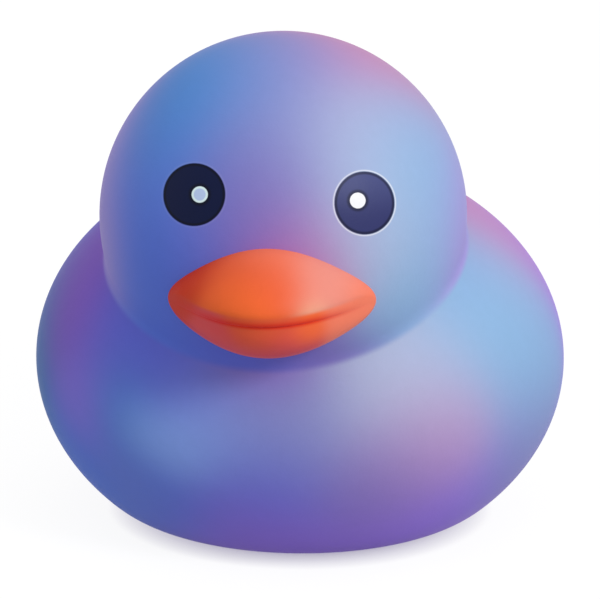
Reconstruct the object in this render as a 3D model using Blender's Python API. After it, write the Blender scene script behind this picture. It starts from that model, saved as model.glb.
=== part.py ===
"""A squishy duck: one soft foam moulding with its head, body, tail and beak in one piece.

The duck faces -Y and stands on the flat foot under its body. The origin is the middle of that
foot. Sizes are in metres. The eyes and the beak's colour are print and paint, level with the
skin, so they are fields of colour on the one moulding.
"""

import math

import bmesh
import bpy
from mathutils import Vector

# Body: a rounded bun that the foot cuts flat
BODY_WIDTH = 0.0900
BODY_DEPTH = 0.0840
BODY_ROUND_HEIGHT = 0.0696
BODY_CENTRE_ABOVE_FOOT = 0.0271
FOOT_EDGE_BLEND = 0.0065

# Head: a ball set up and forward on the body, and a little to one side, as it was moulded
HEAD_DIAMETER = 0.0606
HEAD_ABOVE_BODY = 0.0297
HEAD_FORWARD = 0.0160
HEAD_SIDEWAYS = -0.0012
NECK_BLEND = 0.0040

# Tail: drawn out of the back of the body and turned up
TAIL_ROOT_ANGLE = math.radians(18.0)
TAIL_ROOT_RADIUS = 0.0235
TAIL_REACH = 0.0135
TAIL_LIFT = 0.0165
TAIL_NARROWING = 0.30

# Beak: placed from the middle of the head, measured out from the head's ball, and up or down
# from the line of the mouth, which climbs a little to the right
MOUTH_BELOW_HEAD_CENTRE = 0.00685
MOUTH_TILT = math.radians(0.9)
BEAK_OFF_CENTRE = 0.0006
BEAK_WIDTH = 0.0334
BEAK_REACH = 0.0103
BEAK_RISE = 0.0101
BEAK_DROP = 0.00835
BEAK_ROOT_DEPTH = 0.0030
MOUTH_DEPTH = 0.0010
UPPER_LIP_ROLL = 0.0020
LOWER_LIP_ROLL = 0.0014
LOWER_LIP_SETBACK = 0.0006
BEAK_CORNER_RADIUS = 0.0026
BEAK_CORNER_STEP = 0.0008

# Eyes: printed rounds on the head, the pair a little askew, each with a small pale round
EYES_ABOVE_HEAD_CENTRE = 0.0100
EYES_OFF_CENTRE = 0.0019
EYE_SPACING = 0.0270
EYE_LINE_TILT = math.radians(2.2)
EYE_RADIUS = 0.0048
HIGHLIGHT_RADIUS = 0.00133
HIGHLIGHT_INSET = 0.0010

# The side and the height that the eyes were printed from, so that they look round from there
PRINT_TURN = math.radians(5.5)
PRINT_TILT = math.radians(17.0)

# How full the arcs of the beak's section are (2 is an ellipse, less is flatter), how fast the
# beak thins towards its corners and how blunt the corners are
UPPER_LIP_FULLNESS = 1.45
LIP_EDGE_FULLNESS = 1.5
LOWER_LIP_FULLNESS = 2.3
BEAK_THINNING = 1.2
CORNER_BLUNTNESS = 12
ROOT_SHARE_OF_HEIGHT = 0.7

# How finely the skin, the beak and the printed rounds are divided
SKIN_CELLS = 26
BEAK_STATIONS = 25
LIP_STEPS = 8
LIP_EDGE_STEPS = 4
ROUND_SIDES = 28
CREASE_ANGLE = math.radians(35.0)

# Points this near the foot's plane are laid on it, and cuts this near a corner meet it
FLAT_TOLERANCE = 0.00003
CUT_TOLERANCE = 0.0000001

SKIN, BEAK, EYE, HIGHLIGHT = range(4)

BODY_CENTRE = Vector((0.0, 0.0, BODY_CENTRE_ABOVE_FOOT))
BODY_HALVES = Vector((BODY_WIDTH, BODY_DEPTH, BODY_ROUND_HEIGHT)) / 2
HEAD_CENTRE = BODY_CENTRE + Vector((HEAD_SIDEWAYS, -HEAD_FORWARD, HEAD_ABOVE_BODY))
HEAD_RADIUS = HEAD_DIAMETER / 2
HEAD_HALVES = Vector((HEAD_RADIUS, HEAD_RADIUS, HEAD_RADIUS))


def clear_scene():
    for thing in list(bpy.data.objects):
        bpy.data.objects.remove(thing, do_unlink=True)


def paint(name, colour, roughness):
    """A painted foam finish."""
    material = bpy.data.materials.new(name)
    material.use_nodes = True
    shader = material.node_tree.nodes["Principled BSDF"]
    shader.inputs["Base Color"].default_value = (*colour, 1.0)
    shader.inputs["Roughness"].default_value = roughness
    shader.inputs["Metallic"].default_value = 0.0
    material.diffuse_color = (*colour, 1.0)
    return material


def finishes():
    """The moulding's finishes, in the order of SKIN, BEAK, EYE and HIGHLIGHT."""
    return [
        paint("foam_skin", (0.19, 0.22, 0.57), 0.55),
        paint("beak_orange", (0.90, 0.18, 0.06), 0.50),
        paint("eye_navy", (0.012, 0.014, 0.06), 0.40),
        paint("highlight_white", (0.85, 0.88, 0.95), 0.40),
    ]


def smooth_max(a, b, blend):
    """The larger of two lengths, rounded where they are within the blend of each other."""
    overlap = max(blend - abs(a - b), 0.0) / blend
    return max(a, b) + overlap**3 * blend / 6


def smooth_min(a, b, blend):
    return -smooth_max(-a, -b, blend)


def distance_to_ellipsoid(start, direction, centre, halves):
    """How far a ray from inside an ellipsoid runs before it leaves it."""
    offset = Vector([(start[i] - centre[i]) / halves[i] for i in range(3)])
    heading = Vector([direction[i] / halves[i] for i in range(3)])
    a = heading.dot(heading)
    b = offset.dot(heading)
    c = offset.dot(offset) - 1
    return (math.sqrt(b * b - a * c) - b) / a


def heart_of_duck():
    """A point inside both head and body, from which the whole skin is in sight."""
    body_top = BODY_CENTRE.z + BODY_HALVES.z
    head_bottom = HEAD_CENTRE.z - HEAD_RADIUS
    middle = (BODY_CENTRE + HEAD_CENTRE) / 2
    return Vector((middle.x, middle.y, (body_top + head_bottom) / 2))


def skin_point(heart, direction):
    """Where a ray from the heart leaves the joined head and body, above the flat foot."""
    to_body = distance_to_ellipsoid(heart, direction, BODY_CENTRE, BODY_HALVES)
    to_head = distance_to_ellipsoid(heart, direction, HEAD_CENTRE, HEAD_HALVES)
    reach = smooth_max(to_body, to_head, NECK_BLEND)
    if direction.z < 0:
        to_floor = heart.z / -direction.z
        reach = smooth_min(reach, to_floor, FOOT_EDGE_BLEND)
    point = heart + direction * reach
    if point.z < FLAT_TOLERANCE:
        point.z = 0.0
    return point


def draw_out_tail(point):
    """Pull the skin around the tail's root backwards and up, and pinch it narrower."""
    back = BODY_HALVES.y * math.cos(TAIL_ROOT_ANGLE)
    up = BODY_HALVES.z * math.sin(TAIL_ROOT_ANGLE)
    root = BODY_CENTRE + Vector((0.0, back, up))
    nearness = 1 - min((point - root).length / TAIL_ROOT_RADIUS, 1.0) ** 2
    pull = nearness * nearness
    pinched = point.x * (1 - TAIL_NARROWING * pull)
    return Vector((pinched, point.y + TAIL_REACH * pull, point.z + TAIL_LIFT * pull))


def head_front(x, z):
    """The Y of the front of the head's ball at a place across and up."""
    across = x - HEAD_CENTRE.x
    up = z - HEAD_CENTRE.z
    return HEAD_CENTRE.y - math.sqrt(HEAD_RADIUS**2 - across**2 - up**2)


def print_axes():
    """The directions right, up and towards the printer, as the eyes were printed."""
    right = Vector((math.cos(PRINT_TURN), math.sin(PRINT_TURN), 0.0))
    towards = Vector((math.sin(PRINT_TURN), -math.cos(PRINT_TURN), math.tan(PRINT_TILT)))
    towards.normalize()
    return right, towards.cross(right), towards


def print_round(mesh, centre, radius, finish):
    """Cut the outline of a printed round into the skin and give its inside a finish."""
    right, up, towards = print_axes()

    def near(face):
        offsets = [(v.co - centre).cross(towards).length for v in face.verts]
        return face.normal.dot(towards) > 0 and min(offsets) < 2 * EYE_RADIUS

    inside = [face for face in mesh.faces if near(face)]
    for side in range(ROUND_SIDES):
        angle = 2 * math.pi * side / ROUND_SIDES
        outward = right * math.cos(angle) + up * math.sin(angle)
        edge_point = centre + outward * radius
        pieces = set(inside)
        for face in inside:
            pieces.update(face.edges)
            pieces.update(face.verts)
        cut = bmesh.ops.bisect_plane(
            mesh,
            geom=list(pieces),
            dist=CUT_TOLERANCE,
            plane_co=edge_point,
            plane_no=outward,
        )
        faces = [piece for piece in cut["geom"] if isinstance(piece, bmesh.types.BMFace)]
        inside = [
            face
            for face in faces
            if (face.calc_center_median() - edge_point).dot(outward) < 0
        ]
    for face in inside:
        face.material_index = finish


def print_eyes(mesh):
    right, _, _ = print_axes()
    for side in (-1, 1):
        across = side * EYE_SPACING / 2
        x = HEAD_CENTRE.x + EYES_OFF_CENTRE + across
        z = HEAD_CENTRE.z + EYES_ABOVE_HEAD_CENTRE - across * math.tan(EYE_LINE_TILT)
        centre = Vector((x, head_front(x, z), z))
        print_round(mesh, centre, EYE_RADIUS, EYE)
        print_round(mesh, centre - right * side * HIGHLIGHT_INSET, HIGHLIGHT_RADIUS, HIGHLIGHT)


def duck_skin(materials):
    """Head, body, tail and foot as one skin, spread from the sides of a divided cube."""
    mesh = bmesh.new()
    bmesh.ops.create_cube(mesh, size=2.0)
    bmesh.ops.subdivide_edges(
        mesh, edges=mesh.edges[:], cuts=SKIN_CELLS - 1, use_grid_fill=True
    )
    heart = heart_of_duck()
    for vertex in mesh.verts:
        evened = Vector([math.tan(value * math.pi / 4) for value in vertex.co])
        vertex.co = draw_out_tail(skin_point(heart, evened.normalized()))
    bmesh.ops.triangulate(mesh, faces=mesh.faces[:])
    mesh.normal_update()
    print_eyes(mesh)
    return place_mesh("duck", mesh, materials)


def quarter_curve(steps, fullness):
    """Points of a quarter curve as shares across and up, from (0, 1) to (1, 0)."""
    for step in range(steps + 1):
        angle = math.pi / 2 * step / steps
        yield math.sin(angle) ** (2 / fullness), math.cos(angle) ** (2 / fullness)


def beak_section(share):
    """The beak's outline at a share of its half width, as lengths out from the head and up."""
    swell = (1 - share * share) ** BEAK_THINNING
    blunt = math.sqrt(1 - abs(share) ** CORNER_BLUNTNESS)
    corner = BEAK_CORNER_RADIUS * blunt
    rise = (BEAK_RISE - BEAK_CORNER_RADIUS) * swell + corner
    drop = (BEAK_DROP - BEAK_CORNER_RADIUS) * swell + corner
    upper_reach = (BEAK_REACH - BEAK_CORNER_STEP) * swell + BEAK_CORNER_STEP * blunt
    lower_reach = upper_reach - LOWER_LIP_SETBACK * swell
    mouth_reach = upper_reach - MOUTH_DEPTH * swell
    upper_roll = min(UPPER_LIP_ROLL, rise / 2)
    lower_roll = min(LOWER_LIP_ROLL, drop / 2)

    points = []
    for across, up in quarter_curve(LIP_STEPS, UPPER_LIP_FULLNESS):
        points.append((upper_reach * across, upper_roll + (rise - upper_roll) * up))
    for across, up in list(quarter_curve(LIP_EDGE_STEPS, LIP_EDGE_FULLNESS))[1:]:
        out = mouth_reach + (upper_reach - mouth_reach) * up
        points.append((out, upper_roll * (1 - across)))
    for across, up in list(quarter_curve(LIP_EDGE_STEPS, LIP_EDGE_FULLNESS))[1:]:
        out = mouth_reach + (lower_reach - mouth_reach) * across
        points.append((out, -lower_roll * (1 - up)))
    for across, up in list(quarter_curve(LIP_STEPS, LOWER_LIP_FULLNESS))[1:]:
        points.append((lower_reach * up, -lower_roll - (drop - lower_roll) * across))
    points.append((-BEAK_ROOT_DEPTH, -drop * ROOT_SHARE_OF_HEIGHT))
    points.append((-BEAK_ROOT_DEPTH, rise * ROOT_SHARE_OF_HEIGHT))
    return points


def beak_form(materials):
    """The beak as a closed form whose root lies inside the head."""
    mesh = bmesh.new()
    middle = HEAD_CENTRE.x + BEAK_OFF_CENTRE
    mouth_height = HEAD_CENTRE.z - MOUTH_BELOW_HEAD_CENTRE
    rings = []
    for station in range(BEAK_STATIONS):
        share = -math.cos(math.pi * (station + 0.5) / BEAK_STATIONS)
        x = middle + share * BEAK_WIDTH / 2
        mouth = mouth_height + (x - middle) * math.tan(MOUTH_TILT)
        ring = []
        for out, up in beak_section(share):
            z = mouth + up
            ring.append(mesh.verts.new((x, head_front(x, z) - out, z)))
        rings.append(ring)
    for ring, following in zip(rings, rings[1:]):
        for place, corner in enumerate(ring):
            after = (place + 1) % len(ring)
            mesh.faces.new((corner, following[place], following[after], ring[after]))
    mesh.faces.new(rings[0])
    mesh.faces.new(rings[-1][::-1])
    for face in mesh.faces:
        face.material_index = BEAK
    bmesh.ops.triangulate(mesh, faces=mesh.faces[:])
    bmesh.ops.recalc_face_normals(mesh, faces=mesh.faces[:])
    form = place_mesh("beak_form", mesh, materials)
    form.hide_render = True
    form.display_type = "WIRE"
    return form


def place_mesh(name, mesh, materials):
    """Put a finished mesh into the scene as an object that wears the duck's finishes."""
    data = bpy.data.meshes.new(name)
    for material in materials:
        data.materials.append(material)
    mesh.to_mesh(data)
    mesh.free()
    thing = bpy.data.objects.new(name, data)
    bpy.context.scene.collection.objects.link(thing)
    return thing


def join_beak(duck, form):
    """Grow the beak out of the head and keep the crease around it crisp."""
    union = duck.modifiers.new("beak", "BOOLEAN")
    union.operation = "UNION"
    union.solver = "EXACT"
    union.object = form
    evaluated = duck.evaluated_get(bpy.context.evaluated_depsgraph_get())
    joined = bpy.data.meshes.new_from_object(evaluated)
    duck.modifiers.remove(union)
    duck.data = joined
    bpy.data.objects.remove(form, do_unlink=True)
    joined.shade_smooth()
    joined.set_sharp_from_angle(angle=CREASE_ANGLE)


def main():
    clear_scene()
    materials = finishes()
    join_beak(duck_skin(materials), beak_form(materials))


main()
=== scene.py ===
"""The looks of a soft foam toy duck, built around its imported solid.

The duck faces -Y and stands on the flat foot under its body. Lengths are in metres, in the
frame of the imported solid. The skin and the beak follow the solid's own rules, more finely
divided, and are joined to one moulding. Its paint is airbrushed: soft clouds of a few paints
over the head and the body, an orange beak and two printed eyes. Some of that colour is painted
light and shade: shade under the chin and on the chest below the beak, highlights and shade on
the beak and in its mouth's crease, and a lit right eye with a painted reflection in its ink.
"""

import logging
import math
from collections.abc import Iterator, Mapping, Sequence
from dataclasses import dataclass, field
from enum import Enum

import bmesh
import bpy
from mathutils import Color, Matrix, Vector


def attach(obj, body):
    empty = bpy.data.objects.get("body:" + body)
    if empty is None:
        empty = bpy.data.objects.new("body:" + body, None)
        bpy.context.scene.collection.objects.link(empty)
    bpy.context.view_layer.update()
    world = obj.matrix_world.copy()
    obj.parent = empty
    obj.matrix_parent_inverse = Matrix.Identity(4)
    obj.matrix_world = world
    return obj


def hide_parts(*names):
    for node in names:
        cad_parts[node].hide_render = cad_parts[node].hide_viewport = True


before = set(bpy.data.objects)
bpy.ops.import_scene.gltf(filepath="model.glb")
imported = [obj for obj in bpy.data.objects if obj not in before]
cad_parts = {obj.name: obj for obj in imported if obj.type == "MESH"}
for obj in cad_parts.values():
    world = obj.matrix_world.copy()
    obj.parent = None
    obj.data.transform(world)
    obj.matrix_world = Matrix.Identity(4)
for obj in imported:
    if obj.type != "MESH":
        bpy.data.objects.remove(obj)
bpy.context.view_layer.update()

log = logging.getLogger("duck")

BODY = "root"
NODE = "duck"

FULL_CODE = 255

Triple = tuple[float, float, float]
Colour = tuple[float, float, float, float]


def heading(turn: float, lift: float) -> Vector:
    """Work out a direction from two angles in radians.

    Args:
        turn: How far it is turned from the duck's front towards +X.
        lift: How far it rises from level.

    Returns:
        The direction, of length one.
    """
    level = math.cos(lift)
    return Vector((math.sin(turn) * level, -math.cos(turn) * level, math.sin(lift)))


def rightward(turn: float) -> Vector:
    """The level direction to the right of someone who looks at the duck from a turn."""
    return Vector((math.cos(turn), math.sin(turn), 0.0))


def grey(level: float) -> Colour:
    """An even grey with full cover."""
    return (level, level, level, 1.0)


class Value:
    """What a node's socket gives, in an expression that adds its nodes as it goes."""

    def __init__(self, graph: "Graph", socket: bpy.types.NodeSocket) -> None:
        """Keep the socket and the graph that it belongs to."""
        self.graph = graph
        self.socket = socket

    def __add__(self, other: "Number") -> "Value":
        """This number plus another."""
        return self.graph.math("ADD", self, other)

    def __radd__(self, other: "Number") -> "Value":
        """Another number plus this one."""
        return self.graph.math("ADD", other, self)

    def __sub__(self, other: "Number") -> "Value":
        """This number less another."""
        return self.graph.math("SUBTRACT", self, other)

    def __rsub__(self, other: "Number") -> "Value":
        """Another number less this one."""
        return self.graph.math("SUBTRACT", other, self)

    def __mul__(self, other: "Number") -> "Value":
        """This number times another."""
        return self.graph.math("MULTIPLY", self, other)

    def __rmul__(self, other: "Number") -> "Value":
        """Another number times this one."""
        return self.graph.math("MULTIPLY", other, self)

    def __truediv__(self, other: "Number") -> "Value":
        """This number over another."""
        return self.graph.math("DIVIDE", self, other)

    def __rtruediv__(self, other: "Number") -> "Value":
        """Another number over this one."""
        return self.graph.math("DIVIDE", other, self)

    def __pow__(self, other: "Number") -> "Value":
        """This number to a power."""
        return self.graph.math("POWER", self, other)

    def __gt__(self, other: "Number") -> "Value":
        """One where this number is the larger, and else nought."""
        return self.graph.math("GREATER_THAN", self, other)

    def __lt__(self, other: "Number") -> "Value":
        """One where this number is the smaller, and else nought."""
        return self.graph.math("LESS_THAN", self, other)


Number = Value | float


class Graph:
    """A node tree under construction, for a shader or for geometry."""

    def __init__(self, tree: bpy.types.NodeTree) -> None:
        """Keep the tree that the nodes go into."""
        self.tree = tree

    def add(
        self,
        kind: str,
        settings: Mapping[str, object] | None = None,
        inputs: Mapping[str | int, object] | None = None,
    ) -> bpy.types.Node:
        """Add a node.

        Args:
            kind: The node's type.
            settings: Its own settings by name, which are set first.
            inputs: Values or links of its sockets, by name, identifier or place.

        Returns:
            The new node.
        """
        node = self.tree.nodes.new(kind)
        for name, setting in (settings or {}).items():
            setattr(node, name, setting)
        for key, given in (inputs or {}).items():
            socket = self.find(node.inputs, key)
            if isinstance(given, Value):
                self.feed(given, socket)
            elif isinstance(given, bpy.types.NodeSocket):
                self.tree.links.new(given, socket)
            else:
                socket.default_value = given
        return node

    def feed(self, value: Value, socket: bpy.types.NodeSocket) -> None:
        """Link a value to a socket that is there already."""
        self.tree.links.new(value.socket, socket)

    def find(self, sockets: Sequence[bpy.types.NodeSocket], key: str | int) -> bpy.types.NodeSocket:
        """Find a socket of a node.

        Args:
            sockets: The node's inputs or outputs.
            key: The socket's place, identifier or name.

        Returns:
            The socket.
        """
        if isinstance(key, int):
            return sockets[key]
        for socket in sockets:
            if socket.identifier == key:
                return socket
        return sockets[key]

    def out(self, node: bpy.types.Node, key: str | int = 0) -> Value:
        """What a node gives at one of its outputs."""
        return Value(self, self.find(node.outputs, key))

    def math(self, operation: str, *terms: Number) -> Value:
        """The result of a Math node on the given numbers."""
        node = self.add("ShaderNodeMath", {"operation": operation}, dict(enumerate(terms)))
        return self.out(node)

    def vector(self, operation: str, *terms: Value | Triple) -> Value:
        """The vector that a Vector Math node gives."""
        settings = {"operation": operation}
        return self.out(self.add("ShaderNodeVectorMath", settings, dict(enumerate(terms))))

    def measure(self, operation: str, *terms: Value | Triple) -> Value:
        """The number that a Vector Math node gives, such as a length or a dot product."""
        return self.out(self.vector(operation, *terms).socket.node, "Value")

    def scale(self, vector: Value | Triple, factor: Number) -> Value:
        """A vector or a colour times a number."""
        inputs = {"Vector": vector, "Scale": factor}
        return self.out(self.add("ShaderNodeVectorMath", {"operation": "SCALE"}, inputs))

    def parts(self, vector: Value) -> tuple[Value, Value, Value]:
        """The three numbers of a vector."""
        node = self.add("ShaderNodeSeparateXYZ", inputs={0: vector})
        return self.out(node, 0), self.out(node, 1), self.out(node, 2)

    def join(self, x: Number, y: Number, z: Number) -> Value:
        """A vector of three numbers."""
        return self.out(self.add("ShaderNodeCombineXYZ", inputs={0: x, 1: y, 2: z}))

    def ramp(
        self, value: Value, start: float, end: float, low: float = 0.0, high: float = 1.0
    ) -> Value:
        """Turn a range of a number into a soft step.

        Args:
            value: The number that is looked at.
            start: Where the step begins.
            end: Where the step is complete.
            low: The result before the step.
            high: The result after the step.

        Returns:
            The number between low and high.
        """
        inputs = {"Value": value, "From Min": start, "From Max": end}
        inputs |= {"To Min": low, "To Max": high}
        settings = {"interpolation_type": "SMOOTHSTEP"}
        return self.out(self.add("ShaderNodeMapRange", settings, inputs))

    def blend(
        self, share: Number, first: Value | Sequence[float], second: Value | Sequence[float]
    ) -> Value:
        """Mix two colours.

        Args:
            share: How much of the second colour shows, from nought to one.
            first: The colour below.
            second: The colour above.

        Returns:
            The mixed colour.
        """
        inputs = {"Factor_Float": share, "A_Color": first, "B_Color": second}
        node = self.add("ShaderNodeMix", {"data_type": "RGBA"}, inputs)
        return self.out(node, "Result_Color")

    def noise(self, place: Value, grain: float, detail: float = 2.0) -> Value:
        """A cloudy number about one half.

        Args:
            place: The point that is looked at.
            grain: The size of one cloud in metres.
            detail: How much finer the smallest clouds are.

        Returns:
            The number, from nought to one.
        """
        inputs = {"Vector": place, "Scale": 1 / grain, "Detail": detail}
        return self.out(self.add("ShaderNodeTexNoise", inputs=inputs), 0)


class Paint(Enum):
    """The duck's paints and inks, as screen codes of red, green and blue up to FULL_CODE."""

    AZURE = (75, 145, 220)
    CORNFLOWER = (88, 128, 232)
    SKY = (140, 182, 222)
    MIST = (145, 180, 250)
    PEARL = (180, 190, 220)
    HEATHER = (140, 145, 205)
    LILAC = (170, 152, 222)
    IRIS = (100, 110, 220)
    VIOLET = (158, 125, 236)
    MAUVE = (130, 115, 190)
    PURPLE = (145, 88, 198)
    ORCHID = (190, 100, 175)
    PINK = (200, 140, 185)
    ROSE = (200, 155, 200)
    LAGOON = (60, 120, 180)
    # A dark red for painted shade at the beak's left corner
    SHADE_RED = (210, 50, 10)
    ORANGE = (235, 95, 52)
    TANGERINE = (255, 112, 52)
    # A purplish red for painted shade and reflection low on the lower lip
    SHADE_REFLECTION_BRICK = (225, 80, 85)
    CORAL = (250, 130, 100)
    # A pale salmon for a painted highlight on the beak's upper right
    SALMON_HIGHLIGHT = (235, 145, 130)
    # A pale apricot for a painted highlight above the beak's ridge
    RIDGE_HIGHLIGHT = (250, 190, 155)
    # A red for the painted shade in the mouth's crease
    CREASE_SHADE_RED = (230, 20, 10)
    NAVY = (9, 20, 58)
    # Lighter navies for the right eye: painted light on its ink, and a painted reflection at its top
    LIT_NAVY = (51, 55, 105)
    REFLECTED_NAVY = (71, 77, 127)
    # A bluish white for the left eye's light: its white print with painted shade
    SHADED_WHITE = (190, 210, 247)
    ICE = (230, 252, 255)
    WHITE = (246, 246, 250)

    @property
    def colour(self) -> Colour:
        """The paint as the light that it throws back, with full cover."""
        screen = Color([code / FULL_CODE for code in self.value])
        return (*screen.from_srgb_to_scene_linear(), 1.0)


@dataclass(frozen=True)
class Spray:
    """One soft cloud of paint on a rounded form.

    Turn is in degrees round from the duck's front towards +X, lift in degrees up from level,
    and reach is how far from its middle the cloud has thinned to about a third.
    """

    paint: Paint
    turn: float
    lift: float
    reach: float
    strength: float = 1.0


@dataclass(frozen=True)
class Airbrush:
    """Soft clouds of paint that share out the surface of a rounded form."""

    centre: Vector
    halves: Vector
    sprays: tuple[Spray, ...]

    def place(self, spray: Spray) -> Vector:
        """The middle of a cloud, on the rounded form."""
        way = heading(math.radians(spray.turn), math.radians(spray.lift))
        return self.centre + self.halves * way

    def build(self, graph: Graph, point: Value) -> Value:
        """Mix the paint at a point, each cloud by its share there.

        Args:
            graph: The graph that the nodes go into.
            point: The point that is looked at.

        Returns:
            The colour.
        """
        colour: Value | Triple = (0.0, 0.0, 0.0)
        total: Number = 0.0
        for spray in self.sprays:
            far = graph.measure("DISTANCE", point, tuple(self.place(spray))) / spray.reach
            share = graph.math("POWER", 1 / math.e, far * far) * spray.strength
            colour = graph.vector("MULTIPLY_ADD", spray.paint.colour[:3], share, colour)
            total = total + share
        return graph.scale(colour, 1.0 / total)


def new_material(name: str) -> tuple[bpy.types.Material, Graph, bpy.types.Node]:
    """Start a material.

    Args:
        name: The material's name.

    Returns:
        The material, its graph and its Principled shader.
    """
    material = bpy.data.materials.new(name)
    material.use_nodes = True
    graph = Graph(material.node_tree)
    return material, graph, material.node_tree.nodes["Principled BSDF"]


@dataclass(frozen=True)
class DuckShape:
    """The sizes that head, body, tail and foot follow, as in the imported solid."""

    body_width: float = 0.0900
    body_depth: float = 0.0840
    body_round_height: float = 0.0696
    body_above_foot: float = 0.0271
    foot_edge_blend: float = 0.0065
    head_diameter: float = 0.0606
    head_above_body: float = 0.0297
    head_forward: float = 0.0160
    head_sideways: float = -0.0012
    neck_blend: float = 0.0040
    tail_root_angle: float = math.radians(18.0)
    tail_root_radius: float = 0.0235
    tail_reach: float = 0.0135
    tail_lift: float = 0.0165
    tail_narrowing: float = 0.30
    flat_tolerance: float = 0.00003

    @property
    def body_centre(self) -> Vector:
        """The middle of the rounded body."""
        return Vector((0.0, 0.0, self.body_above_foot))

    @property
    def body_halves(self) -> Vector:
        """Half the body's width, depth and round height."""
        return Vector((self.body_width, self.body_depth, self.body_round_height)) / 2

    @property
    def head_centre(self) -> Vector:
        """The middle of the head's ball."""
        step = Vector((self.head_sideways, -self.head_forward, self.head_above_body))
        return self.body_centre + step

    @property
    def head_radius(self) -> float:
        """Half the head's width."""
        return self.head_diameter / 2

    @property
    def heart(self) -> Vector:
        """Find a point inside both head and body, from which the whole skin is in sight.

        Returns:
            The point.
        """
        body_top = self.body_centre.z + self.body_halves.z
        head_bottom = self.head_centre.z - self.head_radius
        middle = (self.body_centre + self.head_centre) / 2
        return Vector((middle.x, middle.y, (body_top + head_bottom) / 2))

    @property
    def tail_root(self) -> Vector:
        """Find the point of the body's back that the tail is drawn from.

        Returns:
            The point.
        """
        back = self.body_halves.y * math.cos(self.tail_root_angle)
        up = self.body_halves.z * math.sin(self.tail_root_angle)
        return self.body_centre + Vector((0.0, back, up))

    def head_front(self, x: float, z: float) -> float:
        """Find the front of the head's ball.

        Args:
            x: The place across.
            z: The place up.

        Returns:
            The Y of the front there.
        """
        across = x - self.head_centre.x
        up = z - self.head_centre.z
        return self.head_centre.y - math.sqrt(self.head_radius**2 - across**2 - up**2)


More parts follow.
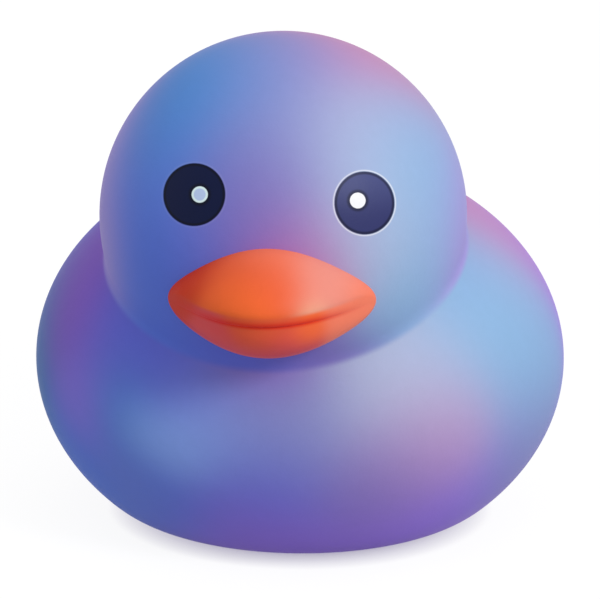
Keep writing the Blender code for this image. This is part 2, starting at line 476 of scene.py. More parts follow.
@dataclass
class Skin:
    """The skin of head, body, tail and foot, spread by geometry nodes from a divided cube.

    Each point goes out from the duck's heart to the skin. A point that goes level or up would
    never come to the floor, so for the floor it counts as falling by the least fall.
    """

    shape: DuckShape
    cells: int = 112
    least_fall: float = 0.0001

    def sizes(self) -> dict[str, tuple[str, object]]:
        """List the node tree's named inputs.

        Returns:
            Each input's socket type and its value, by name.
        """
        shape = self.shape
        number = "NodeSocketFloat"
        place = "NodeSocketVector"
        return {
            "Cells": ("NodeSocketInt", self.cells),
            "Heart": (place, shape.heart),
            "Body Centre": (place, shape.body_centre),
            "Body Halves": (place, shape.body_halves),
            "Head Centre": (place, shape.head_centre),
            "Head Radius": (number, shape.head_radius),
            "Neck Blend": (number, shape.neck_blend),
            "Foot Edge Blend": (number, shape.foot_edge_blend),
            "Flat Tolerance": (number, shape.flat_tolerance),
            "Tail Root": (place, shape.tail_root),
            "Tail Root Radius": (number, shape.tail_root_radius),
            "Tail Reach": (number, shape.tail_reach),
            "Tail Lift": (number, shape.tail_lift),
            "Tail Narrowing": (number, shape.tail_narrowing),
        }

    def reach(self, graph: Graph, ray: Value, heart: Value, centre: Value, halves: Value) -> Value:
        """Work out how far a ray from the heart runs before it leaves an ellipsoid.

        Args:
            graph: The graph that the nodes go into.
            ray: The ray's direction.
            heart: Where the ray starts.
            centre: The middle of the ellipsoid.
            halves: Half the ellipsoid's three widths.

        Returns:
            The length of the ray.
        """
        offset = graph.vector("DIVIDE", graph.vector("SUBTRACT", heart, centre), halves)
        aim = graph.vector("DIVIDE", ray, halves)
        a = graph.measure("DOT_PRODUCT", aim, aim)
        b = graph.measure("DOT_PRODUCT", offset, aim)
        c = graph.measure("DOT_PRODUCT", offset, offset) - 1.0
        return (graph.math("SQRT", b * b - a * c) - b) / a

    def place(self, graph: Graph, size: Mapping[str, Value]) -> Value:
        """Work out where a point of the cube goes on the skin.

        Args:
            graph: The graph that the nodes go into.
            size: The tree's named inputs.

        Returns:
            The point on the skin.
        """
        on_cube = graph.out(graph.add("GeometryNodeInputPosition"))
        # Else the cells at the middle of each side of the cube would come out larger
        evened = graph.vector("TANGENT", graph.scale(on_cube, math.pi / 4))
        ray = graph.vector("NORMALIZE", evened)
        heart = size["Heart"]
        to_body = self.reach(graph, ray, heart, size["Body Centre"], size["Body Halves"])
        radius = size["Head Radius"]
        ball = graph.join(radius, radius, radius)
        to_head = self.reach(graph, ray, heart, size["Head Centre"], ball)
        joined = graph.math("SMOOTH_MAX", to_body, to_head, size["Neck Blend"])
        down = graph.math("MAXIMUM", graph.parts(ray)[2] * -1.0, self.least_fall)
        to_floor = graph.parts(heart)[2] / down
        reach = graph.math("SMOOTH_MIN", joined, to_floor, size["Foot Edge Blend"])
        x, y, z = graph.parts(graph.vector("ADD", heart, graph.scale(ray, reach)))
        return graph.join(x, y, z * (z > size["Flat Tolerance"]))

    def draw_out_tail(self, graph: Graph, point: Value, size: Mapping[str, Value]) -> Value:
        """Pull the skin around the tail's root backwards and up, and pinch it narrower.

        Args:
            graph: The graph that the nodes go into.
            point: The point on the skin.
            size: The tree's named inputs.

        Returns:
            The moved point.
        """
        gap = graph.measure("DISTANCE", point, size["Tail Root"]) / size["Tail Root Radius"]
        nearness = 1.0 - graph.math("MINIMUM", gap, 1.0) ** 2.0
        pull = nearness * nearness
        x, y, z = graph.parts(point)
        return graph.join(
            x * (1.0 - size["Tail Narrowing"] * pull),
            y + size["Tail Reach"] * pull,
            z + size["Tail Lift"] * pull,
        )

    def build(self, finish: bpy.types.Material) -> bpy.types.Object:
        """Make the skin.

        Args:
            finish: The material that it wears.

        Returns:
            The skin as a plain mesh.
        """
        tree = bpy.data.node_groups.new("duck_skin", "GeometryNodeTree")
        choices = self.sizes() | {"Finish": ("NodeSocketMaterial", finish)}
        sockets = {
            name: tree.interface.new_socket(name, in_out="INPUT", socket_type=kind)
            for name, (kind, _) in choices.items()
        }
        tree.interface.new_socket("Skin", in_out="OUTPUT", socket_type="NodeSocketGeometry")
        graph = Graph(tree)
        given = graph.add("NodeGroupInput")
        size = {name: graph.out(given, name) for name in sockets}
        corners = size["Cells"] + 1.0
        divided = {f"Vertices {axis}": corners for axis in "XYZ"}
        cube = graph.add("GeometryNodeMeshCube", inputs={"Size": (2.0, 2.0, 2.0)} | divided)
        point = self.draw_out_tail(graph, self.place(graph, size), size)
        spread = graph.add(
            "GeometryNodeSetPosition", inputs={"Geometry": graph.out(cube), "Position": point}
        )
        smooth = graph.add("GeometryNodeSetShadeSmooth", inputs={"Geometry": graph.out(spread)})
        real = graph.add("GeometryNodeRealizeInstances", inputs={0: graph.out(smooth)})
        worn = graph.add(
            "GeometryNodeSetMaterial",
            inputs={"Geometry": graph.out(real), "Material": size["Finish"]},
        )
        graph.add("NodeGroupOutput", inputs={"Skin": graph.out(worn)})

        skin = bpy.data.objects.new("duck_skin", bpy.data.meshes.new("duck_skin"))
        bpy.context.scene.collection.objects.link(skin)
        modifier = skin.modifiers.new("skin", "NODES")
        modifier.node_group = tree
        for name, (_, value) in choices.items():
            modifier[sockets[name].identifier] = value
        make_plain(skin)
        return skin


@dataclass
class Beak:
    """The beak, lofted from station to station across the head's front."""

    shape: DuckShape
    below_head_centre: float = 0.00685
    tilt: float = math.radians(0.9)
    off_centre: float = 0.0006
    width: float = 0.0334
    reach: float = 0.0103
    rise: float = 0.0101
    drop: float = 0.00835
    root_depth: float = 0.0030
    mouth_depth: float = 0.0006
    upper_roll: float = 0.0020
    lower_roll: float = 0.0014
    lower_setback: float = 0.0006
    corner_radius: float = 0.0026
    corner_step: float = 0.0008
    upper_fullness: float = 1.45
    upper_edge_fullness: float = 3.0
    lower_edge_fullness: float = 1.5
    lower_fullness: float = 2.3
    thinning: float = 1.2
    corner_bluntness: int = 12
    root_share: float = 0.7
    stations: int = 121
    lip_steps: int = 26
    edge_steps: int = 12

    @property
    def middle(self) -> Vector:
        """Find the middle of the mouth's line on the head's ball.

        Returns:
            The point.
        """
        x = self.shape.head_centre.x + self.off_centre
        z = self.shape.head_centre.z - self.below_head_centre
        return Vector((x, self.shape.head_front(x, z), z))

    def quarter(self, steps: int, fullness: float) -> Iterator[tuple[float, float]]:
        """Run along a quarter curve.

        Args:
            steps: How many steps it has.
            fullness: Two for an ellipse, less for a flatter curve.

        Yields:
            Shares across and up, from (0, 1) to (1, 0).
        """
        for step in range(steps + 1):
            angle = math.pi / 2 * step / steps
            across, up = math.sin(angle), max(math.cos(angle), 0.0)
            yield across ** (2 / fullness), up ** (2 / fullness)

    def section(self, share: float) -> list[tuple[float, float]]:
        """Work out the beak's outline at one station.

        Args:
            share: The station's place, from -1 at one corner to 1 at the other.

        Returns:
            Points as lengths out from the head and up from the mouth's line.
        """
        swell = (1 - share * share) ** self.thinning
        blunt = math.sqrt(1 - abs(share) ** self.corner_bluntness)
        corner = self.corner_radius * blunt
        rise = (self.rise - self.corner_radius) * swell + corner
        drop = (self.drop - self.corner_radius) * swell + corner
        upper = (self.reach - self.corner_step) * swell + self.corner_step * blunt
        lower = upper - self.lower_setback * swell
        mouth = upper - self.mouth_depth * swell
        upper_roll = min(self.upper_roll, rise / 2)
        lower_roll = min(self.lower_roll, drop / 2)

        # Down over the upper lip, in to the mouth, out again, and down over the lower lip
        points = [
            (upper * a, upper_roll + (rise - upper_roll) * b)
            for a, b in self.quarter(self.lip_steps, self.upper_fullness)
        ]
        edge = list(self.quarter(self.edge_steps, self.upper_edge_fullness))[1:]
        points += [(mouth + (upper - mouth) * b, upper_roll * (1 - a)) for a, b in edge]
        edge = list(self.quarter(self.edge_steps, self.lower_edge_fullness))[1:]
        points += [(mouth + (lower - mouth) * a, -lower_roll * (1 - b)) for a, b in edge]
        lip = list(self.quarter(self.lip_steps, self.lower_fullness))[1:]
        points += [(lower * b, -lower_roll - (drop - lower_roll) * a) for a, b in lip]
        points.append((-self.root_depth, -drop * self.root_share))
        points.append((-self.root_depth, rise * self.root_share))
        return points

    def build(self, finish: bpy.types.Material) -> bpy.types.Object:
        """Make the beak's closed form, whose root lies inside the head.

        Args:
            finish: The material that it wears.

        Returns:
            The form, ready to be joined to the skin.
        """
        mesh = bmesh.new()
        rings = []
        for station in range(self.stations):
            share = -math.cos(math.pi * (station + 0.5) / self.stations)
            x = self.middle.x + share * self.width / 2
            mouth = self.middle.z + (x - self.middle.x) * math.tan(self.tilt)
            ring = []
            for out, up in self.section(share):
                z = mouth + up
                ring.append(mesh.verts.new((x, self.shape.head_front(x, z) - out, z)))
            rings.append(ring)
        for ring, following in zip(rings, rings[1:]):
            for place, corner in enumerate(ring):
                after = (place + 1) % len(ring)
                mesh.faces.new((corner, following[place], following[after], ring[after]))
        mesh.faces.new(rings[0])
        mesh.faces.new(rings[-1][::-1])
        bmesh.ops.recalc_face_normals(mesh, faces=mesh.faces[:])
        return place_mesh("beak_form", mesh, finish)


@dataclass(frozen=True)
class Eye:
    """A printed eye: a round of ink with a pale light on it, placed from the head's middle.

    The ink turns towards its top to a paler paint, a painted reflection of the lamps in its gloss;
    the light has a rim of its own paint and is placed from the eye's middle, and outline is how
    much of a white outline shows.
    """

    across: float
    up: float
    half_width: float
    half_height: float
    ink: Paint
    painted_reflection: Paint
    light_across: float
    light_up: float
    light_radius: float
    light: Paint
    light_rim: Paint
    outline: float


@dataclass(frozen=True)
class FoamFinish:
    """The satin skin of soft foam: fine grain, faint cloudiness and a soft sheen at its edges."""

    roughness: float = 0.62
    roughness_spread: float = 0.10
    specular: float = 0.12
    grain: float = 0.00045
    grain_depth: float = 0.00002
    ripple: float = 0.0042
    ripple_depth: float = 0.00006
    mottle: float = 0.0016
    mottle_spread: float = 0.05
    sheen: float = 0.12
    sheen_roughness: float = 0.22
    sheen_tint: Colour = (1.0, 0.78, 0.94, 1.0)
    ink_roughness: float = 0.42
    ink_depth: float = 0.000015

    def dress(
        self, graph: Graph, shader: bpy.types.Node, point: Value, colour: Value, printed: Number = 0.0
    ) -> None:
        """Give a shader the foam's colour, grain, ripple and sheen.

        Args:
            graph: The graph that the nodes go into.
            shader: The Principled shader.
            point: The point that is looked at.
            colour: The paint there.
            printed: One where smoother ink lies on the paint, and nought elsewhere.
        """
        cloud = graph.noise(point, self.mottle, detail=3.0)
        shade = 1.0 + (cloud - 0.5) * self.mottle_spread
        graph.feed(graph.scale(colour, shade), shader.inputs["Base Color"])
        rough = self.roughness + (cloud - 0.5) * self.roughness_spread
        rough = rough + printed * (self.ink_roughness - self.roughness)
        graph.feed(rough, shader.inputs["Roughness"])
        ripple = graph.noise(point, self.ripple, detail=1.0) * self.ripple_depth
        height = ripple + graph.noise(point, self.grain, detail=2.0) * self.grain_depth
        height = height + printed * self.ink_depth
        bump = graph.add("ShaderNodeBump", inputs={"Height": height, "Distance": 1.0})
        graph.feed(graph.out(bump), shader.inputs["Normal"])
        shader.inputs["Specular IOR Level"].default_value = self.specular
        shader.inputs["Sheen Weight"].default_value = self.sheen
        shader.inputs["Sheen Roughness"].default_value = self.sheen_roughness
        shader.inputs["Sheen Tint"].default_value = self.sheen_tint


HEAD_SPRAYS = (
    Spray(Paint.AZURE, -35, 60, 0.012),
    Spray(Paint.AZURE, -50, 40, 0.010),
    Spray(Paint.CORNFLOWER, -45, 20, 0.012),
    Spray(Paint.CORNFLOWER, -45, -15, 0.012),
    Spray(Paint.LILAC, -80, 20, 0.012),
    Spray(Paint.LILAC, -70, -5, 0.008, 1.5),
    Spray(Paint.IRIS, -20, -20, 0.014),
    Spray(Paint.HEATHER, 10, 75, 0.010),
    Spray(Paint.HEATHER, 5, 50, 0.012),
    Spray(Paint.MAUVE, -5, 25, 0.012),
    Spray(Paint.ORCHID, 12, 0, 0.009, 0.8),
    # Painted shade: a greyer mauve under the chin, on the right
    Spray(Paint.MAUVE, 30, -40, 0.009, 0.8),
    Spray(Paint.PINK, 75, 60, 0.012),
    Spray(Paint.PEARL, 35, 40, 0.010),
    Spray(Paint.PEARL, 35, 8, 0.010),
    Spray(Paint.SKY, 60, 35, 0.010, 1.5),
    Spray(Paint.SKY, 55, 10, 0.012),
    Spray(Paint.SKY, 50, -15, 0.009),
    Spray(Paint.LILAC, 85, 0, 0.012, 1.5),
    Spray(Paint.AZURE, -140, 20, 0.014),
    Spray(Paint.PINK, 150, 50, 0.014),
    Spray(Paint.SKY, 120, 15, 0.014),
    Spray(Paint.VIOLET, 180, 15, 0.014),
)

BODY_SPRAYS = (
    Spray(Paint.PURPLE, -80, 30, 0.012),
    Spray(Paint.PURPLE, -60, 20, 0.009),
    Spray(Paint.LAGOON, -85, 5, 0.014, 2.5),
    Spray(Paint.VIOLET, -50, 0, 0.008, 0.7),
    Spray(Paint.IRIS, -40, 20, 0.012),
    Spray(Paint.IRIS, -20, 20, 0.010),
    # Painted shadow: purple on the chest under the beak, where the head's shadow falls
    Spray(Paint.PURPLE, -2, 28, 0.008, 1.5),
    # Painted light: a pale cloud that lightens the chest just right of the beak
    Spray(Paint.PEARL, 16, 32, 0.007, 1.5),
    Spray(Paint.AZURE, -36, 2, 0.007, 0.6),
    Spray(Paint.MIST, -30, -2, 0.005, 0.5),
    Spray(Paint.MIST, -22, -6, 0.006, 0.8),
    Spray(Paint.CORNFLOWER, -55, -20, 0.012),
    Spray(Paint.CORNFLOWER, -30, -25, 0.010),
    Spray(Paint.HEATHER, -36, -22, 0.008, 0.4),
    Spray(Paint.VIOLET, -10, -40, 0.012),
    Spray(Paint.HEATHER, 0, 8, 0.012),
    Spray(Paint.MIST, -14, 0, 0.008, 0.5),
    Spray(Paint.IRIS, -5, -15, 0.011, 0.6),
    Spray(Paint.PEARL, 28, 15, 0.012),
    Spray(Paint.ROSE, 35, -4, 0.010),
    Spray(Paint.MAUVE, 25, -14, 0.010),
    Spray(Paint.VIOLET, 40, -35, 0.014),
    Spray(Paint.SKY, 70, 10, 0.012),
    Spray(Paint.SKY, 58, 28, 0.014, 1.5),
    Spray(Paint.PINK, 95, 45, 0.014),
    Spray(Paint.HEATHER, 65, -15, 0.012),
    Spray(Paint.VIOLET, 110, 20, 0.016),
    Spray(Paint.AZURE, 140, 0, 0.016),
    Spray(Paint.PINK, 160, 35, 0.014),
    Spray(Paint.IRIS, 180, 10, 0.014),
    Spray(Paint.SKY, -160, 30, 0.014),
    Spray(Paint.VIOLET, -130, 10, 0.016),
    Spray(Paint.CORNFLOWER, -110, 25, 0.014),
    Spray(Paint.VIOLET, 120, -35, 0.018),
    Spray(Paint.VIOLET, -120, -35, 0.018),
    Spray(Paint.VIOLET, 180, -35, 0.018),
)

UPPER_BEAK_SPRAYS = (
    # Painted shade: dark red at the beak's left corner, turned from the lamps
    Spray(Paint.SHADE_RED, -80, 35, 0.005, 1.5),
    Spray(Paint.ORANGE, -40, 55, 0.006),
    Spray(Paint.ORANGE, 0, 50, 0.006),
    Spray(Paint.TANGERINE, -20, 10, 0.005, 3.0),
    Spray(Paint.CORAL, 10, 85, 0.005),
    # Painted highlight: pale salmon on the upper right, where the lamps fall
    Spray(Paint.SALMON_HIGHLIGHT, 75, 50, 0.006, 1.5),
    # Painted highlight: a small pale cloud just above the ridge
    Spray(Paint.RIDGE_HIGHLIGHT, 35, 5, 0.003, 0.5),
    Spray(Paint.CORAL, 100, 10, 0.005),
)

LOWER_BEAK_SPRAYS = (
    # Painted shade: dark red at the lower lip's left corner, turned from the lamps
    Spray(Paint.SHADE_RED, -90, 10, 0.004),
    # Painted shade and reflection: brick red low on the lower lip, turned towards the violet chest
    Spray(Paint.SHADE_REFLECTION_BRICK, -50, -40, 0.005),
    Spray(Paint.SHADE_REFLECTION_BRICK, 10, -40, 0.005),
    Spray(Paint.ORANGE, 0, -5, 0.004),
    Spray(Paint.TANGERINE, 30, -12, 0.003),
    Spray(Paint.CORAL, 60, 0, 0.003),
    Spray(Paint.CORAL, 90, 0, 0.005),
)


@dataclass(frozen=True)
class SkinPaint:
    """The airbrushed skin of head, body and tail, and the two printed eyes.

    The eyes are printed from a turn and a tilt, from where they are round. What belongs to an
    eye or to its light is measured in that round's own radius.
    """

    shape: DuckShape
    foam: FoamFinish = field(default_factory=FoamFinish)
    head_line: float = 0.0003
    head_fade: float = 0.0012
    print_turn: float = math.radians(5.5)
    print_tilt: float = math.radians(17.0)
    ink_edge: float = 0.022
    painted_reflection_start: float = -0.6
    painted_reflection_full: float = 1.0
    rim_start: float = 0.88
    rim_full: float = 0.94
    ring_full: float = 1.2
    ring_end: float = 1.55
    ring_depth: float = 0.6
    light_rim_start: float = 0.66
    light_rim_full: float = 0.82
    outline_width: float = 0.026
    eyes: tuple[Eye, ...] = (
        Eye(
            across=-0.0116,
            up=0.0106,
            half_width=0.0050,
            half_height=0.0050,
            ink=Paint.NAVY,
            painted_reflection=Paint.NAVY,
            light_across=0.0009,
            light_up=0.0,
            light_radius=0.0013,
            # The left eye's white light is painted bluish grey: painted shade
            light=Paint.SHADED_WHITE,
            light_rim=Paint.ICE,
            outline=0.05,
        ),
        Eye(
            across=0.0154,
            up=0.0095,
            half_width=0.0048,
            half_height=0.0050,
            # The right eye's ink is painted a lighter navy than the left's: painted light where the
            # lamps fall
            ink=Paint.LIT_NAVY,
            # Towards its top the ink pales further: a painted reflection of the lamps in its gloss
            painted_reflection=Paint.REFLECTED_NAVY,
            light_across=-0.0011,
            light_up=0.0004,
            light_radius=0.00125,
            light=Paint.WHITE,
            light_rim=Paint.WHITE,
            outline=0.6,
        ),
    )

    def round_mark(
        self, graph: Graph, point: Value, centre: Vector, half_width: float, half_height: float
    ) -> tuple[Value, Value]:
        """Measure where a point lies on a printed round.

        Args:
            graph: The graph that the nodes go into.
            point: The point that is looked at.
            centre: The middle of the round, on the skin.
            half_width: Half its width, as the printer sees it.
            half_height: Half its height.

        Returns:
            The distance from its middle, which is one on its edge, and the height on it.
        """
        right = rightward(self.print_turn)
        up = heading(self.print_turn, self.print_tilt).cross(right)
        offset = graph.vector("SUBTRACT", point, tuple(centre))
        across = graph.measure("DOT_PRODUCT", offset, tuple(right / half_width))
        along = graph.measure("DOT_PRODUCT", offset, tuple(up / half_height))
        return graph.math("SQRT", across * across + along * along), along

    def eye_colour(
        self, graph: Graph, eye: Eye, ring: Value, height: Value, spot: Value
    ) -> Value:
        """Mix the colours inside an eye.

        Args:
            graph: The graph that the nodes go into.
            eye: The eye.
            ring: The distance from its middle, which is one on its edge.
            height: The height on it, which is one at its top.
            spot: The distance from the middle of its light, which is one on the light's edge.

        Returns:
            The ink, darker by its edge and around the light, with the light on it.
        """
        # The ink pales towards the eye's top by this share: a painted reflection of the lamps
        painted_reflection = graph.ramp(height, self.painted_reflection_start, self.painted_reflection_full)
        shade = graph.blend(painted_reflection, eye.ink.colour, eye.painted_reflection.colour)
        rim = graph.ramp(ring, self.rim_start, self.rim_full)
        dark = rim + graph.ramp(spot, self.ring_full, self.ring_end, 1.0, 0.0)
        shade = graph.scale(shade, 1.0 - dark * self.ring_depth)
        light_rim = graph.ramp(spot, self.light_rim_start, self.light_rim_full)
        lit = graph.blend(light_rim, eye.light.colour, eye.light_rim.colour)
        edge = 2 * self.ink_edge
        return graph.blend(graph.ramp(spot, 1 - edge, 1 + edge, 1.0, 0.0), shade, lit)

    def print_eye(
        self, graph: Graph, point: Value, front: Value, colour: Value, eye: Eye
    ) -> tuple[Value, Value]:
        """Print an eye over the paint.

        Args:
            graph: The graph that the nodes go into.
            point: The point that is looked at.
            front: One on the duck's front, and nought behind.
            colour: The paint below.
            eye: The eye.

        Returns:
            The colour with the eye on it, and where the ink is.
        """
        middle = self.shape.head_centre
        x, z = middle.x + eye.across, middle.z + eye.up
        centre = Vector((x, self.shape.head_front(x, z), z))
        light = centre + rightward(self.print_turn) * eye.light_across
        light.z += eye.light_up
        ring, height = self.round_mark(graph, point, centre, eye.half_width, eye.half_height)
        spot, _ = self.round_mark(graph, point, light, eye.light_radius, eye.light_radius)
        edge, wide = self.ink_edge, self.outline_width
        ink = graph.ramp(ring, 1 - edge, 1 + edge, 1.0, 0.0) * front
        outline = graph.ramp(ring, 1.0, 1 + wide)
        outline = outline * graph.ramp(ring, 1 + wide, 1 + 3 * wide, 1.0, 0.0)
        around = graph.blend(outline * front * eye.outline, colour, Paint.WHITE.colour)
        inside = self.eye_colour(graph, eye, ring, height, spot)
        return graph.blend(ink, around, inside), ink

    def build(self) -> bpy.types.Material:
        """Make the skin's material.

        Returns:
            The material.
        """
        material, graph, shader = new_material("foam_skin")
        shape = self.shape
        point = graph.out(graph.add("ShaderNodeTexCoord"), "Object")
        ball = Vector((shape.head_radius,) * 3)
        head = Airbrush(shape.head_centre, ball, HEAD_SPRAYS).build(graph, point)
        body = Airbrush(shape.body_centre, shape.body_halves, BODY_SPRAYS).build(graph, point)
        above = graph.measure("DISTANCE", point, tuple(shape.head_centre)) - shape.head_radius
        on_head = graph.ramp(above, self.head_line, self.head_fade, 1.0, 0.0)
        colour = graph.blend(on_head, body, head)
        front = graph.parts(point)[1] < shape.head_centre.y
        printed: Number = 0.0
        for eye in self.eyes:
            colour, ink = self.print_eye(graph, point, front, colour, eye)
            printed = printed + ink
        self.foam.dress(graph, shader, point, colour, printed)
        return material


@dataclass(frozen=True)
class BeakPaint:
    """The beak's orange, sprayed apart above and below the upper lip's ridge, and its mouth."""

    beak: Beak
    foam: FoamFinish = field(default_factory=lambda: FoamFinish(roughness=0.5, sheen=0.1))
    ridge_start: float = 0.0012
    ridge_end: float = 0.0020
    red_above: float = 0.0014
    red_below: float = 0.0008
    red_half_length: float = 0.0165
    red_fade: float = 0.0105
    red_cover: float = 0.8

    def build(self) -> bpy.types.Material:
        """Make the beak's material.

        Returns:
            The material.
        """
        material, graph, shader = new_material("beak_orange")
        point = graph.out(graph.add("ShaderNodeTexCoord"), "Object")
        beak = self.beak
        halves = Vector((beak.width / 2, beak.reach, beak.rise))
        over = Airbrush(beak.middle, halves, UPPER_BEAK_SPRAYS).build(graph, point)
        under = Airbrush(beak.middle, halves, LOWER_BEAK_SPRAYS).build(graph, point)
        across, _, up = graph.parts(graph.vector("SUBTRACT", point, tuple(beak.middle)))
        up = up - across * math.tan(beak.tilt)
        # Above the ridge the upper sprays, with their painted highlights, take over sharply
        colour = graph.blend(graph.ramp(up, self.ridge_start, self.ridge_end), under, over)
        # Painted shade: a red line in the mouth's crease, spread up over the upper lip's underside
        above = graph.ramp(up, 0.0, self.red_above, 1.0, 0.0)
        below = graph.ramp(up, -self.red_below, 0.0)
        end = self.red_half_length
        length = graph.ramp(graph.math("ABSOLUTE", across), end - self.red_fade, end, 1.0, 0.0)
        line = above * below * length * self.red_cover
        colour = graph.blend(line, colour, Paint.CREASE_SHADE_RED.colour)
        self.foam.dress(graph, shader, point, colour)
        return material


def place_mesh(name: str, mesh: bmesh.types.BMesh, finish: bpy.types.Material) -> bpy.types.Object:
    """Put a finished mesh into the scene.

    Args:
        name: The object's name.
        mesh: The mesh, which is used up.
        finish: The material that it wears.

    Returns:
        The new object.
    """
    data = bpy.data.meshes.new(name)
    data.materials.append(finish)
    mesh.to_mesh(data)
    mesh.free()
    thing = bpy.data.objects.new(name, data)
    bpy.context.scene.collection.objects.link(thing)
    return thing


def make_plain(thing: bpy.types.Object) -> None:
    """Turn an object's modifiers into a plain mesh that has no empty material slot.

    Args:
        thing: The object, whose mesh is replaced.
    """
    evaluated = thing.evaluated_get(bpy.context.evaluated_depsgraph_get())
    data = bpy.data.meshes.new_from_object(evaluated)
    thing.data = data
    thing.modifiers.clear()
    worn = [material for material in data.materials if material]
    places = [worn.index(data.materials[face.material_index]) for face in data.polygons]
    data.materials.clear()
    for material in worn:
        data.materials.append(material)
    data.polygons.foreach_set("material_index", places)


def put_in_order(mesh: bmesh.types.BMesh) -> None:
    """Sort corners, edges and faces by their places, as a union doesn't always list them alike.

    Args:
        mesh: The mesh, whose elements get a new order.
    """
    for index, corner in enumerate(sorted(mesh.verts, key=lambda corner: corner.co[:])):
        corner.index = index
    mesh.verts.sort()
    for elements in (mesh.edges, mesh.faces):
        ordered = sorted(elements, key=lambda item: sorted(corner.index for corner in item.verts))
        for index, item in enumerate(ordered):
            item.index = index
        elements.sort()


@dataclass
class Moulding:
    """The whole duck: skin and beak grown together as one foam moulding."""

    shape: DuckShape
    crease_angle: float = math.radians(40.0)
    weld: float = 0.00002

    def clear_slivers(self, duck: bpy.types.Object) -> None:
        """Weld the tiny edges that the union leaves along the beak's root.

        Args:
            duck: The joined moulding, whose mesh is changed.
        """
        mesh = bmesh.new()
        mesh.from_mesh(duck.data)
        put_in_order(mesh)
        many_sided = [face for face in mesh.faces if len(face.verts) > 4]
        bmesh.ops.triangulate(mesh, faces=many_sided)
        bmesh.ops.remove_doubles(mesh, verts=mesh.verts[:], dist=self.weld)
        bmesh.ops.dissolve_degenerate(mesh, edges=mesh.edges[:], dist=self.weld)
        mesh.to_mesh(duck.data)
        mesh.free()

    def build(
        self, skin_finish: bpy.types.Material, beak_finish: bpy.types.Material
    ) -> bpy.types.Object:
        """Make the moulding.

        Args:
            skin_finish: The material of head, body and tail.
            beak_finish: The material of the beak.

        Returns:
            The moulding as one closed mesh.
        """
        duck = Skin(self.shape).build(skin_finish)
        form = Beak(self.shape).build(beak_finish)
        union = duck.modifiers.new("beak", "BOOLEAN")
        union.operation = "UNION"
        union.solver = "EXACT"
        union.material_mode = "TRANSFER"
        union.object = form
        make_plain(duck)
        bpy.data.objects.remove(form, do_unlink=True)
        duck.name = "foam_duck"
        duck.data.name = "foam_duck"
        self.clear_slivers(duck)
        duck.data.shade_smooth()
        duck.data.set_sharp_from_angle(angle=self.crease_angle)
        return duck


def dress(duck: bpy.types.Object) -> None:
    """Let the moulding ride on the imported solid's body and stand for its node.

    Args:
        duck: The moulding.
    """
    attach(duck, BODY)
    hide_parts(NODE)


@dataclass(frozen=True)
class Lamp:
    """A soft panel of light that faces the duck, with its turn and its height in degrees."""

    name: str
    turn: float
    height: float
    distance: float
    width: float
    watts: float

    def build(self, target: Vector) -> None:
        """Hang the lamp.

        Args:
            target: The point that it faces.
        """
        light = bpy.data.lights.new(self.name, "AREA")
        light.shape = "DISK"
        light.size = self.width
        light.energy = self.watts
        lamp = bpy.data.objects.new(self.name, light)
        bpy.context.scene.collection.objects.link(lamp)
        away = heading(math.radians(self.turn), math.radians(self.height))
        lamp.location = target + away * self.distance
        lamp.rotation_euler = away.to_track_quat("Z", "Y").to_euler()


@dataclass(frozen=True)
class Camera:
    """The camera, at the height and the side that the duck is seen from."""

    turn: float = math.radians(5.5)
    height: float = math.radians(17.0)
    distance: float = 0.7
    pixels_per_metre: float = 5900.0
    frame_width: int = 600
    frame_height: int = 599
    target_pixel: tuple[float, float] = (299.8, 255.0)
    sensor: float = 36.0

    def build(self, target: Vector) -> None:
        """Set the camera up.

        Args:
            target: The point that it looks at.
        """
        forward = -heading(self.turn, self.height)
        right = rightward(self.turn)
        up = right.cross(forward)
        data = bpy.data.cameras.new("camera")
        data.sensor_width = self.sensor
        data.sensor_fit = "HORIZONTAL"
        data.lens = self.sensor * self.pixels_per_metre * self.distance / self.frame_width
        column, row = self.target_pixel
        data.shift_x = -(column - self.frame_width / 2) / self.frame_width
        data.shift_y = (row - self.frame_height / 2) / self.frame_width
        camera = bpy.data.objects.new("camera", data)
        bpy.context.scene.collection.objects.link(camera)
        axes = Matrix((right, up, -forward)).transposed().to_4x4()
        camera.matrix_world = Matrix.Translation(target - forward * self.distance) @ axes
        bpy.context.scene.camera = camera


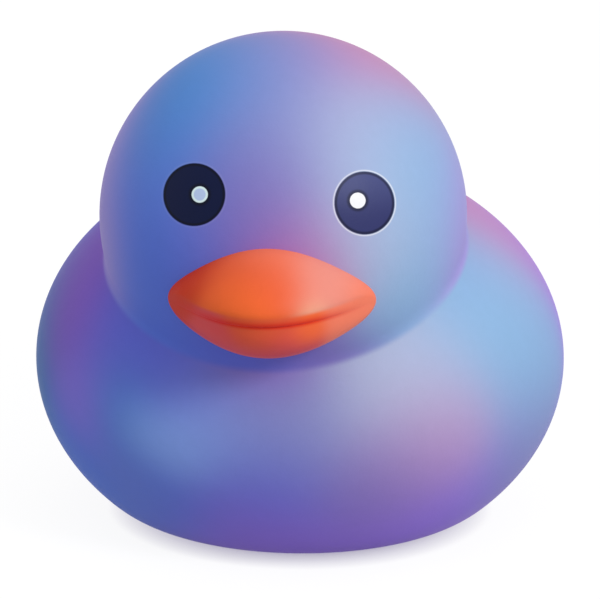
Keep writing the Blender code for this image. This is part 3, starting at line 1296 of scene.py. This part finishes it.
@dataclass
class Studio:
    """A pale floor, soft lamps, an even white surround and the camera."""

    target: Vector = field(default_factory=lambda: Vector((0.0, 0.0, 0.045)))
    surround: float = 0.62
    floor_radius: float = 3.0
    floor_sides: int = 96
    floor_colour: float = 0.50
    floor_seen: float = 0.14
    floor_glow: float = 0.91
    floor_roughness: float = 0.9
    painted_floor_shade: Colour = (0.28, 0.24, 0.42, 1.0)
    shade_reach: float = 0.003
    shade_softness: float = 0.35
    lamps: tuple[Lamp, ...] = (
        Lamp("key", turn=50.0, height=30.0, distance=0.80, width=0.24, watts=2.7),
        Lamp("top", turn=-20.0, height=75.0, distance=0.90, width=0.60, watts=0.6),
    )

    def seen(self, graph: Graph) -> Value:
        """Tell the rays that see the studio from those that light it.

        Args:
            graph: The graph that the nodes go into.

        Returns:
            One on a ray from the camera or by way of gloss or glass, and else nought.
        """
        path = graph.add("ShaderNodeLightPath")
        direct = graph.out(path, "Is Camera Ray") + graph.out(path, "Is Glossy Ray")
        return graph.math("MINIMUM", direct + graph.out(path, "Is Transmission Ray"), 1.0)

    def build_surround(self) -> None:
        """Light the scene evenly from all around, and show white behind it."""
        world = bpy.data.worlds.new("surround")
        world.use_nodes = True
        graph = Graph(world.node_tree)
        background = world.node_tree.nodes["Background"]
        background.inputs["Color"].default_value = grey(1.0)
        strength = self.surround + self.seen(graph) * (1.0 - self.surround)
        graph.feed(strength, background.inputs["Strength"])
        bpy.context.scene.world = world

    def floor_material(self) -> bpy.types.Material:
        """Make a pale floor that is seen as white, with the duck's shadow and the shade under it.

        Returns:
            The floor's material.
        """
        material, graph, plain = new_material("floor")
        plain.inputs["Base Color"].default_value = grey(self.floor_colour)
        plain.inputs["Roughness"].default_value = self.floor_roughness
        plain.inputs["Specular IOR Level"].default_value = 0.0
        shade = graph.add("ShaderNodeBsdfDiffuse", inputs={"Color": grey(self.floor_seen)})
        # Painted shade: the glow darkens and turns violet where the duck closes the floor in, a
        # painted contact shadow with a painted reflection of the duck's colour
        nook = graph.add("ShaderNodeAmbientOcclusion", inputs={"Distance": self.shade_reach})
        open_share = graph.out(nook, "AO") ** self.shade_softness
        colour = graph.blend(open_share, self.painted_floor_shade, grey(1.0))
        glow = graph.add(
            "ShaderNodeEmission", inputs={"Color": colour, "Strength": self.floor_glow}
        )
        white = graph.add("ShaderNodeAddShader", inputs={0: graph.out(shade), 1: graph.out(glow)})
        mixed = graph.add(
            "ShaderNodeMixShader",
            inputs={0: self.seen(graph), 1: plain.outputs["BSDF"], 2: graph.out(white)},
        )
        output = material.node_tree.nodes["Material Output"]
        graph.feed(graph.out(mixed), output.inputs["Surface"])
        return material

    def build_floor(self) -> None:
        """Lay the floor under the duck."""
        mesh = bmesh.new()
        bmesh.ops.create_circle(
            mesh, cap_ends=True, segments=self.floor_sides, radius=self.floor_radius
        )
        place_mesh("floor", mesh, self.floor_material())

    def build(self) -> None:
        """Set up surround, floor, lamps and camera."""
        bpy.context.scene.view_settings.view_transform = "Standard"
        self.build_surround()
        self.build_floor()
        for lamp in self.lamps:
            lamp.build(self.target)
        Camera().build(self.target)


def main() -> None:
    """Build the duck and its studio, and report each piece."""
    logging.basicConfig(level=logging.INFO, format="%(name)s: %(message)s")
    log.info("frame with nodes %s", sorted(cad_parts))
    Studio().build()
    log.info("studio set up")
    shape = DuckShape()
    skin = SkinPaint(shape).build()
    beak = BeakPaint(Beak(shape)).build()
    duck = Moulding(shape).build(skin, beak)
    dress(duck)
    log.info("%s: %d faces", duck.name, len(duck.data.polygons))


if __name__ == "__main__":
    main()
